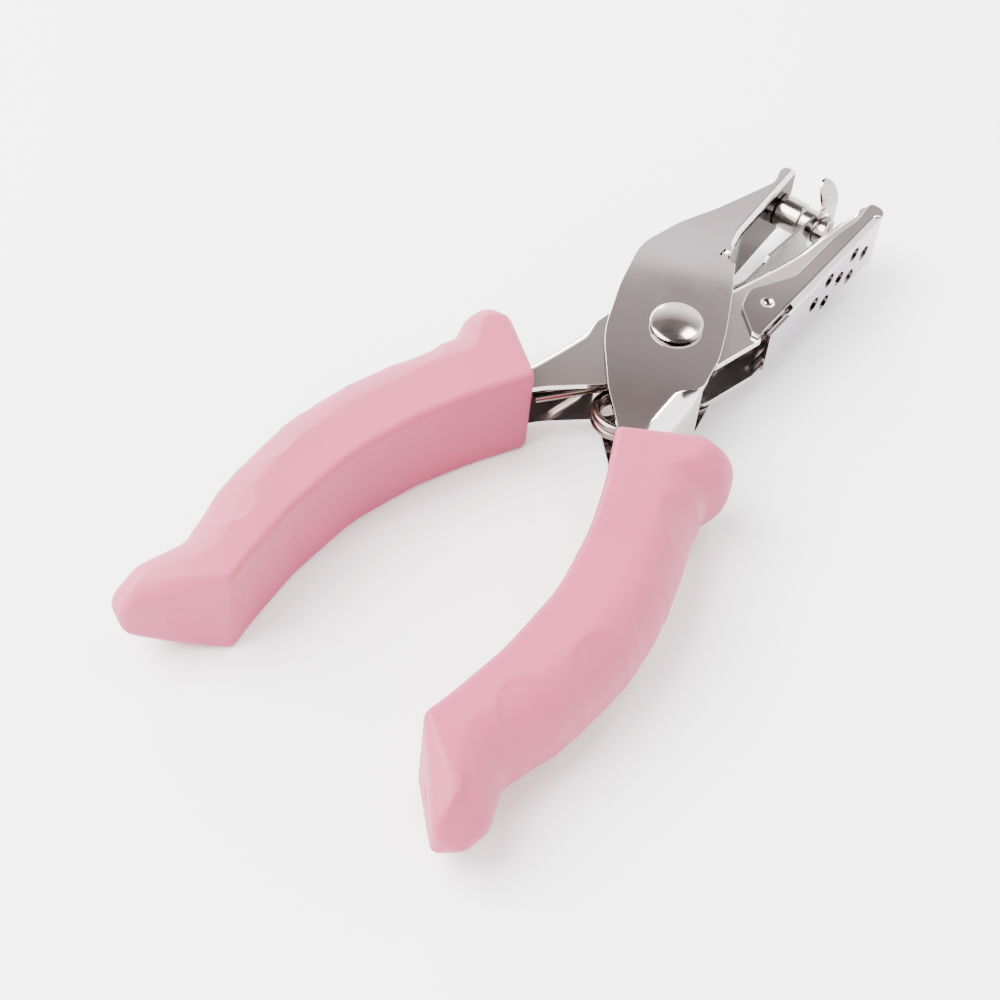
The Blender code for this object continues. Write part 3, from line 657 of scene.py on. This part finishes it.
def nose_cutter():
    """What lies outside the cover's rounded lower front corner, seen from its outer side."""
    ahead = COVER_FRONT_X + 1.4
    centre_x = COVER_FRONT_X - COVER_NOSE_R
    centre_z = COVER_HALF - COVER_NOSE_R
    outline = [Vector((ahead, centre_z)), Vector((COVER_FRONT_X, centre_z))]
    for k in range(1, 16):
        angle = math.pi / 2 * k / 16
        outline.append(Vector((centre_x + COVER_NOSE_R * math.cos(angle),
                               centre_z + COVER_NOSE_R * math.sin(angle))))
    outline += [Vector((centre_x, COVER_HALF)), Vector((centre_x, COVER_HALF + THROUGH)),
                Vector((ahead, COVER_HALF + THROUGH))]
    rings = [[(p.x, y, -p.y) for p in outline]
             for y in (COVER_WEB_Y - THROUGH, COVER_WEB_Y + COVER_LIP - 0.1)]
    return loft_mesh(rings)


def make_chip_cover(mat):
    body = channel("chip_cover_plated", COVER_OUTLINE, COVER_WALLS, COVER_HALF, COVER_SHEET)
    low_y = COVER_WEB_Y - 1
    high_y = COVER_WEB_Y + COVER_SHEET + GAP
    boolean(body, box_mesh((4.0, low_y, -COVER_HALF + COVER_LIP),
                           (COVER_REAR_X, high_y, COVER_HALF - COVER_LIP)))
    for side in (1, -1):
        inner = side * (COVER_HALF - COVER_LIP - 0.1)
        outer = side * (COVER_HALF + 1)
        boolean(body, box_mesh((4.0, low_y, min(inner, outer)),
                               (COVER_SLOT_X, high_y, max(inner, outer))))
        dish = turned_mesh([(0, -0.55), (0.35, -0.53), (0.7, -0.45), (1.0, -0.33), (1.3, -0.12),
                            (1.5, 0.1), (1.5, 1.0), (0, 1.0)], 48)
        if side < 0:
            bmesh.ops.transform(dish, matrix=Matrix.Rotation(math.pi, 4, 'X'), verts=dish.verts)
        shift = Vector((*COVER_HINGE, side * COVER_HALF)) * MM
        bmesh.ops.translate(dish, vec=shift, verts=dish.verts)
        boolean(body, dish)
    for x, height in vent_holes():
        boolean(body, bar_mesh((x, COVER_WEB_Y - THROUGH, height),
                               (x, COVER_WEB_Y + THROUGH + 1, height), VENT_R, 40))
    boolean(body, nose_cutter())
    shade(body)
    return finish_piece(body, mat, "cover", "chip_cover")


def make_torsion_spring(mat):
    """A round-wire coil about Z with one straight leg towards each handle."""
    centre = Vector(COIL_CENTRE)
    sweep = -(2 * math.pi * COIL_WHOLE_TURNS + COIL_START + math.pi / 2)
    lift = COIL_PITCH * abs(sweep) / (4 * math.pi)
    first = centre + Vector((math.cos(COIL_START), math.sin(COIL_START))) * COIL_R
    along = Vector((-math.sin(COIL_START), math.cos(COIL_START)))
    points = [Vector((*(first + along * reach), lift)) for reach in FIRST_LEG]
    for k in range(COIL_STEPS + 1):
        t = k / COIL_STEPS
        angle = COIL_START + sweep * t
        x = centre.x + COIL_R * math.cos(angle)
        y = centre.y + COIL_R * math.sin(angle)
        points.append(Vector((x, y, lift - 2 * lift * t)))
    last = points[-1]
    points += [last + Vector((-reach, 0, 0)) for reach in LAST_LEG]
    curve = bpy.data.curves.new("torsion_spring_wire", 'CURVE')
    curve.dimensions = '3D'
    curve.bevel_depth = WIRE_R * MM
    curve.bevel_resolution = 6
    curve.use_fill_caps = True
    spline = curve.splines.new('POLY')
    spline.points.add(len(points) - 1)
    for slot, point in zip(spline.points, points):
        slot.co = (*(point * MM), 1.0)
    spline.use_smooth = True
    obj = bpy.data.objects.new("torsion_spring_wire", curve)
    obj.location = PIVOT
    bpy.context.scene.collection.objects.link(obj)
    return finish_piece(obj, mat, "die", "torsion_spring")


# ---------------------------------------------------------------- grips

def subdivided(points, spacing):
    """The same outline with no edge longer than the spacing."""
    result = []
    for i, point in enumerate(points):
        ahead = points[(i + 1) % len(points)]
        steps = max(1, math.ceil((ahead - point).length / spacing))
        result += [point.lerp(ahead, k / steps) for k in range(steps)]
    return result


def outline_places(points):
    """Arc length from the first point to each, and the whole length."""
    places = [0.0]
    for i, point in enumerate(points):
        places.append(places[-1] + (points[(i + 1) % len(points)] - point).length)
    return places[:-1], places[-1]


def grip_softness(points):
    """Edge softness at each point, run evenly along the outline from corner to corner."""
    places, total = outline_places(points)
    knots = []
    for x, y, _, soft in GRIP_OUTLINE:
        nearest = min(range(len(points)), key=lambda i: (points[i] - Vector((x, y))).length)
        knots.append((places[nearest], soft))
    knots.sort()
    knots = [(knots[-1][0] - total, knots[-1][1])] + knots + [(knots[0][0] + total, knots[0][1])]
    return [float(np.interp(place, [k[0] for k in knots], [k[1] for k in knots])) for place in places]


def soft_normals(points, reaches):
    """Inward normals, each averaged along the outline over its own reach, so that insets don't cross."""
    side = turning_side(points)
    places, total = outline_places(points)
    count = len(points)
    edges = np.array([points[(i + 1) % count] - points[i] for i in range(count)])
    lengths = np.linalg.norm(edges, axis=1)
    middles = np.array(places) + lengths / 2
    inward = np.stack([-edges[:, 1], edges[:, 0]], axis=1) * side
    normals = []
    for place, reach in zip(places, reaches):
        gap = np.abs(middles - place)
        gap = np.minimum(gap, total - gap)
        blend = Vector((np.exp(-(gap / reach) ** 2)[:, None] * inward).sum(axis=0))
        normals.append(blend.normalized())
    return normals


def edge_inset(softness, height):
    """How far an edge pulls in at a height: round, or oval if its softness passes half the height."""
    reach = min(softness, GRIP_HALF)
    rise = abs(height) * GRIP_TOP - (GRIP_HALF - reach)
    if rise <= 0:
        return 0.0
    return softness * (1 - math.sqrt(max(0.0, 1 - (rise / reach) ** 2)))


def sculpt_grip(mesh, side):
    """Round off the butt, then press in the scoops, the parting line and the gate mark."""
    count = len(mesh.vertices)
    co = np.empty(count * 3)
    mesh.vertices.foreach_get("co", co)
    co = co.reshape(-1, 3) / MM
    flat = np.empty(count * 3)
    x = co[:, 0]
    away = side * (co[:, 1] - MIRROR_Y)
    along = (x - BUTT_CORNER[0]) * BUTT_ALONG[0] + (away - BUTT_CORNER[1]) * BUTT_ALONG[1]
    co[:, 2] *= np.sqrt(1 - np.clip(along / BUTT_REACH, 0, 0.97) ** 2)
    mesh.vertices.foreach_set("co", (co * MM).ravel())
    mesh.update()
    mesh.vertices.foreach_get("normal", flat)
    normal = flat.reshape(-1, 3)
    z = co[:, 2]
    facing = side * normal[:, 1]
    push = np.zeros(count)
    for cx, cy, rx, ry, depth in SCOOPS:
        r = np.sqrt(((x - cx) / rx) ** 2 + ((away - cy) / ry) ** 2)
        dish = np.sqrt(np.clip(1 - r ** 2, 0, 1))
        inner = np.clip(0.6 - 0.6 * (away - cy) / ry, 0.25, 1)
        rim = np.exp(-((r - 1.1) / 0.20) ** 2) * SCOOP_RIM
        push -= depth * inner * (dish - rim)
    parting = np.exp(-(z / PARTING_HALF) ** 2) * np.clip(-facing, 0, 1) * (x > PARTING_END)
    push += PARTING_RISE * parting
    gx, gy = GATE_MARK
    ring = np.sqrt((x - gx) ** 2 + (away - gy) ** 2 + z ** 2)
    butt = ring < GATE_REACH
    push += butt * (0.16 * np.exp(-((ring - 1.9) / 0.5) ** 2) - 0.20 * np.exp(-(ring / 1.3) ** 2)
                    + 0.22 * np.exp(-(ring / 0.45) ** 2))
    co += normal * push[:, None]
    co[:, 2] = np.clip(co[:, 2], -GRIP_HALF, GRIP_HALF)
    mesh.vertices.foreach_set("co", (co * MM).ravel())
    mesh.update()


def make_grip(name, side, lever_corners, lever_half, mat, body_name, node):
    """A soft sleeve: lofted with softened edges, remeshed, sculpted, and bored for its lever."""
    corners = [(x, y, r) for x, y, r, _ in GRIP_OUTLINE]
    points = subdivided(fillet(corners)[0], GRIP_SPACING)
    softness = grip_softness(points)
    inward = soft_normals(points, [GRIP_REACH * soft for soft in softness])
    rings = []
    for k in range(-GRIP_STEPS, GRIP_STEPS + 1):
        height = GRIP_HALF * math.sin(math.pi / 2 * k / GRIP_STEPS)
        ring = [p + n * edge_inset(soft, height) for p, n, soft in zip(points, inward, softness)]
        rings.append([(p.x, MIRROR_Y + side * p.y, height) for p in ring])
    obj = new_object(name, loft_mesh(rings))
    remesh = obj.modifiers.new("voxels", 'REMESH')
    remesh.mode = 'VOXEL'
    remesh.voxel_size = GRIP_VOXEL * MM
    remesh.adaptivity = 0.0
    relax = obj.modifiers.new("relax", 'SMOOTH')
    relax.factor = 0.5
    relax.iterations = GRIP_RELAX
    apply_modifiers(obj)
    sculpt_grip(obj.data, side)
    lever_points, _ = fillet(lever_corners)
    envelope = [point for point, _ in offset(lever_points, [GRIP_FIT] * len(lever_points))]
    boolean(obj, prism_mesh(envelope, -lever_half - GRIP_FIT, lever_half + GRIP_FIT))
    obj.data.shade_smooth()
    obj.data.set_sharp_from_angle(angle=math.radians(50))
    return finish_piece(obj, mat, body_name, node)


# ---------------------------------------------------------------- materials

def principled(name):
    """A new material with its nodes, links and shader."""
    mat = bpy.data.materials.new(name)
    mat.use_nodes = True
    nodes = mat.node_tree.nodes
    return mat, nodes, mat.node_tree.links, nodes["Principled BSDF"]


def noise(nodes, links, vector, scale, detail=3.0, roughness=0.5):
    node = nodes.new("ShaderNodeTexNoise")
    node.inputs["Scale"].default_value = scale
    node.inputs["Detail"].default_value = detail
    node.inputs["Roughness"].default_value = roughness
    links.new(vector, node.inputs["Vector"])
    return node.outputs["Fac"]


def ramp(nodes, links, value, low, high, first, last):
    """Map a value between two stops to two greys or colours."""
    node = nodes.new("ShaderNodeValToRGB")
    node.color_ramp.elements[0].position = low
    node.color_ramp.elements[1].position = high
    node.color_ramp.elements[0].color = (*first, 1.0)
    node.color_ramp.elements[1].color = (*last, 1.0)
    links.new(value, node.inputs["Fac"])
    return node.outputs["Color"]


def bump(nodes, links, height, strength, distance, chain=None):
    node = nodes.new("ShaderNodeBump")
    node.inputs["Strength"].default_value = strength
    node.inputs["Distance"].default_value = distance
    links.new(height, node.inputs["Height"])
    if chain:
        links.new(chain, node.inputs["Normal"])
    return node.outputs["Normal"]


def nickel(name, colour, smooth, rough, grain=0.12, side=None, from_x=0.0, painted_side_grazing_tint=(1, 1, 1),
           metallic=1.0):
    """Bright nickel plate: faint waviness, uneven gloss and hairline polish marks.

    Where a side colour is given, faces that look towards -Y in front of from_x take it instead,
    with its own colour at grazing angles. This is painted light: painted shade where the side
    colour is darker than the plate, painted reflection where it is lighter.
    """
    mat, nodes, links, shader = principled(name)
    place = nodes.new("ShaderNodeTexCoord").outputs["Object"]
    stretch = nodes.new("ShaderNodeMapping")
    stretch.inputs["Scale"].default_value = (160, 2600, 2600)
    stretch.inputs["Rotation"].default_value = (0, 0, math.radians(25))
    links.new(place, stretch.inputs["Vector"])
    cloud = noise(nodes, links, place, 90, 4)
    lines = noise(nodes, links, stretch.outputs["Vector"], 1.0, 2)
    wave = noise(nodes, links, place, 45, 1)
    worn = tuple(part * 0.92 for part in colour)
    tint = ramp(nodes, links, cloud, 0.3, 0.7, worn, colour)
    # Painted light: faces towards -Y take the side colour, and their grazing reflection takes the side's
    # tint.
    if side:
        painted_side_mask = painted_side_share(nodes, links, place, from_x)
        tint = mixed(nodes, links, painted_side_mask, tint, side)
        edge = ramp(nodes, links, painted_side_mask, 0.0, 1.0, (1, 1, 1), painted_side_grazing_tint)
        links.new(edge, shader.inputs["Specular Tint"])
    links.new(tint, shader.inputs["Base Color"])
    links.new(ramp(nodes, links, cloud, 0.35, 0.7, (smooth,) * 3, (rough,) * 3),
              shader.inputs["Roughness"])
    shader.inputs["Metallic"].default_value = metallic
    waves = bump(nodes, links, wave, 0.35, 0.00005)
    links.new(bump(nodes, links, lines, grain, 0.00002, waves), shader.inputs["Normal"])
    return mat


def painted_side_share(nodes, links, place, from_x):
    """Share of the painted side colour: 1 on faces that look towards -Y in front of from_x, 0 elsewhere.
    """
    geometry = nodes.new("ShaderNodeNewGeometry")
    facing = nodes.new("ShaderNodeSeparateXYZ")
    links.new(geometry.outputs["True Normal"], facing.inputs["Vector"])
    where = nodes.new("ShaderNodeSeparateXYZ")
    links.new(place, where.inputs["Vector"])
    turned = math_node(nodes, links, 'MULTIPLY', facing.outputs["Y"], -1.0)
    painted_side_mask = ramp(nodes, links, turned, 0.80, 0.93, (0, 0, 0), (1, 1, 1))
    shifted = math_node(nodes, links, 'SUBTRACT', where.outputs["X"], from_x)
    ahead = ramp(nodes, links, math_node(nodes, links, 'MULTIPLY', shifted, 400.0), 0.0, 1.0,
                 (0, 0, 0), (1, 1, 1))
    return math_node(nodes, links, 'MULTIPLY', painted_side_mask, ahead)


def math_node(nodes, links, operation, first, second):
    node = nodes.new("ShaderNodeMath")
    node.operation = operation
    links.new(first, node.inputs[0])
    if isinstance(second, float):
        node.inputs[1].default_value = second
    else:
        links.new(second, node.inputs[1])
    return node.outputs[0]


def mixed(nodes, links, factor, first, colour):
    """Mix a linked colour with a plain one."""
    node = nodes.new("ShaderNodeMix")
    node.data_type = 'RGBA'
    links.new(factor, node.inputs["Factor"])
    links.new(first, node.inputs["A"])
    node.inputs["B"].default_value = (*colour, 1.0)
    return node.outputs["Result"]


def vinyl(name, colour):
    """Soft matte vinyl: fine moulded grain, slight mottling, a few dark specks."""
    mat, nodes, links, shader = principled(name)
    place = nodes.new("ShaderNodeTexCoord").outputs["Object"]
    mottle = noise(nodes, links, place, 70, 3)
    light = tuple(min(1.0, channel * 1.03) for channel in colour)
    dark = tuple(channel * 0.96 for channel in colour)
    tint = ramp(nodes, links, mottle, 0.3, 0.7, dark, light)
    cells = nodes.new("ShaderNodeTexVoronoi")
    cells.inputs["Scale"].default_value = 90
    links.new(place, cells.inputs["Vector"])
    speck = ramp(nodes, links, cells.outputs["Distance"], 0.018, 0.03, (1, 1, 1), (0, 0, 0))
    rare = ramp(nodes, links, noise(nodes, links, place, 55, 0), 0.66, 0.68, (0, 0, 0), (1, 1, 1))
    spots = math_node(nodes, links, 'MULTIPLY', speck, rare)
    links.new(mixed(nodes, links, spots, tint, (0.16, 0.03, 0.05)), shader.inputs["Base Color"])
    links.new(ramp(nodes, links, mottle, 0.3, 0.7, (0.46,) * 3, (0.56,) * 3), shader.inputs["Roughness"])
    shader.inputs["Subsurface Weight"].default_value = 0.12
    shader.inputs["Subsurface Radius"].default_value = (0.9, 0.45, 0.4)
    shader.inputs["Subsurface Scale"].default_value = 0.0025
    shader.inputs["Specular IOR Level"].default_value = 0.35
    grain = noise(nodes, links, place, 2600, 2)
    links.new(bump(nodes, links, grain, 0.12, 0.00003), shader.inputs["Normal"])
    return mat


# ---------------------------------------------------------------- studio

def make_camera():
    sa, ca = math.sin(CAMERA_AZIMUTH), math.cos(CAMERA_AZIMUTH)
    se, ce = math.sin(CAMERA_ELEVATION), math.cos(CAMERA_ELEVATION)
    back = Vector((sa * ce, -ca * ce, se))
    level = Vector((ca, sa, 0.0))
    up = back.cross(level)
    right = level * math.cos(CAMERA_ROLL) + up * math.sin(CAMERA_ROLL)
    up = back.cross(right)
    turn = Matrix((right, up, back)).transposed().to_4x4()
    data = bpy.data.cameras.new("camera")
    data.lens = CAMERA_LENS
    data.sensor_width = 36.0
    data.clip_start = 0.01
    data.clip_end = 20.0
    camera = bpy.data.objects.new("camera", data)
    camera.matrix_world = Matrix.Translation(CAMERA_AIM + back * CAMERA_DISTANCE) @ turn
    bpy.context.scene.collection.objects.link(camera)
    bpy.context.scene.camera = camera


def softbox(name, azimuth, elevation, distance, size, energy, colour=(1, 1, 1)):
    """An area light at a direction from the part, facing it."""
    a = math.radians(azimuth)
    e = math.radians(elevation)
    spot = Vector((math.sin(a) * math.cos(e), -math.cos(a) * math.cos(e), math.sin(e))) * distance
    data = bpy.data.lights.new(name, 'AREA')
    data.shape = 'RECTANGLE'
    data.size = size[0]
    data.size_y = size[1]
    data.energy = energy
    data.color = colour
    lamp = bpy.data.objects.new(name, data)
    lamp.location = spot
    lamp.rotation_euler = spot.to_track_quat('Z', 'Y').to_euler()
    bpy.context.scene.collection.objects.link(lamp)


def make_floor():
    bm = bmesh.new()
    bmesh.ops.create_grid(bm, x_segments=8, y_segments=8, size=2.5)
    mesh = bpy.data.meshes.new("floor")
    bm.to_mesh(mesh)
    bm.free()
    floor = bpy.data.objects.new("floor", mesh)
    bpy.context.scene.collection.objects.link(floor)
    mat, _, _, shader = principled("floor_paper")
    shader.inputs["Base Color"].default_value = (0.93, 0.93, 0.93, 1)
    shader.inputs["Roughness"].default_value = 0.9
    shader.inputs["Specular IOR Level"].default_value = 0.1
    mesh.materials.append(mat)


def make_world():
    """A pale room with a dark ceiling: light low down all round, grey high up, a window beside."""
    world = bpy.data.worlds.new("studio")
    world.use_nodes = True
    nodes = world.node_tree.nodes
    links = world.node_tree.links
    place = nodes.new("ShaderNodeTexCoord").outputs["Generated"]
    split = nodes.new("ShaderNodeSeparateXYZ")
    links.new(place, split.inputs["Vector"])
    sky = nodes.new("ShaderNodeValToRGB")
    stops = sky.color_ramp
    stops.elements[0].position = 0.0
    stops.elements[0].color = (*SKY_LOW, 1)
    stops.elements[1].position = 1.0
    stops.elements[1].color = (0.05, 0.045, 0.045, 1)
    for height, colour in SKY_STOPS:
        stops.elements.new(height).color = (*colour, 1)
    links.new(split.outputs["Z"], sky.inputs["Fac"])
    ahead = ramp(nodes, links, split.outputs["X"], 0.30, 0.40, (0, 0, 0), (1, 1, 1))
    leftward = math_node(nodes, links, 'MULTIPLY', split.outputs["Y"], -1.0)
    beside = ramp(nodes, links, leftward, 0.0, 0.08, (0, 0, 0), (1, 1, 1))
    window = math_node(nodes, links, 'MULTIPLY', ahead, beside)
    lit = mixed(nodes, links, window, sky.outputs["Color"], SKY_LOW)
    links.new(lit, nodes["Background"].inputs["Color"])
    nodes["Background"].inputs["Strength"].default_value = SKY_STRENGTH
    bpy.context.scene.world = world


def make_lights():
    softbox("key", -140, 55, 0.9, (0.8, 0.7), KEY)
    softbox("side", 88, 58, 0.9, (0.13, 0.20), SIDE)
    softbox("back", 150, 22, 1.2, (0.9, 0.3), BACK)


def main():
    make_camera()
    make_world()
    make_lights()
    make_floor()
    # The punch jaw's web towards -Y is painted nearly black, with a greyed grazing reflection: painted
    # shade for the shadowed floor it mirrors.
    make_punch_lever(nickel("punch_lever_nickel", (0.68, 0.645, 0.64), 0.03, 0.06, 0.04,
                            side=(0.11, 0.100, 0.098), from_x=0.021,
                                    painted_side_grazing_tint=(0.55, 0.53, 0.53)))
    make_die_lever(nickel("die_lever_nickel", (0.72, 0.665, 0.65), 0.04, 0.08, 0.05, metallic=0.97))
    make_pivot_rivet(nickel("rivet_nickel", (0.37, 0.335, 0.325), 0.10, 0.22, 0.3))
    make_punch_pin(nickel("pin_steel", (0.40, 0.37, 0.35), 0.12, 0.22, 0.3))
    make_stripper(nickel("stripper_spring_steel", (0.34, 0.315, 0.31), 0.08, 0.16))
    make_stripper_rivet(nickel("stripper_rivet_steel", (0.50, 0.47, 0.45), 0.15, 0.25))
    # The cover's faces towards -Y are painted a lighter lavender: a painted reflection.
    make_chip_cover(nickel("cover_nickel", (0.38, 0.35, 0.35), 0.05, 0.10, 0.06,
                           side=(0.50, 0.45, 0.50), from_x=-1.0))
    make_torsion_spring(nickel("spring_wire", (0.18, 0.135, 0.12), 0.12, 0.22))
    pink = (0.36, 0.052, 0.115)
    make_grip("die_grip_vinyl", 1, DIE_OUTLINE, DIE_HALF, vinyl("die_grip_vinyl", pink), "die", "die_grip")
    make_grip("punch_grip_vinyl", -1, PUNCH_OUTLINE, PUNCH_HALF, vinyl("punch_grip_vinyl", pink),
              "punch", "punch_grip")


main()
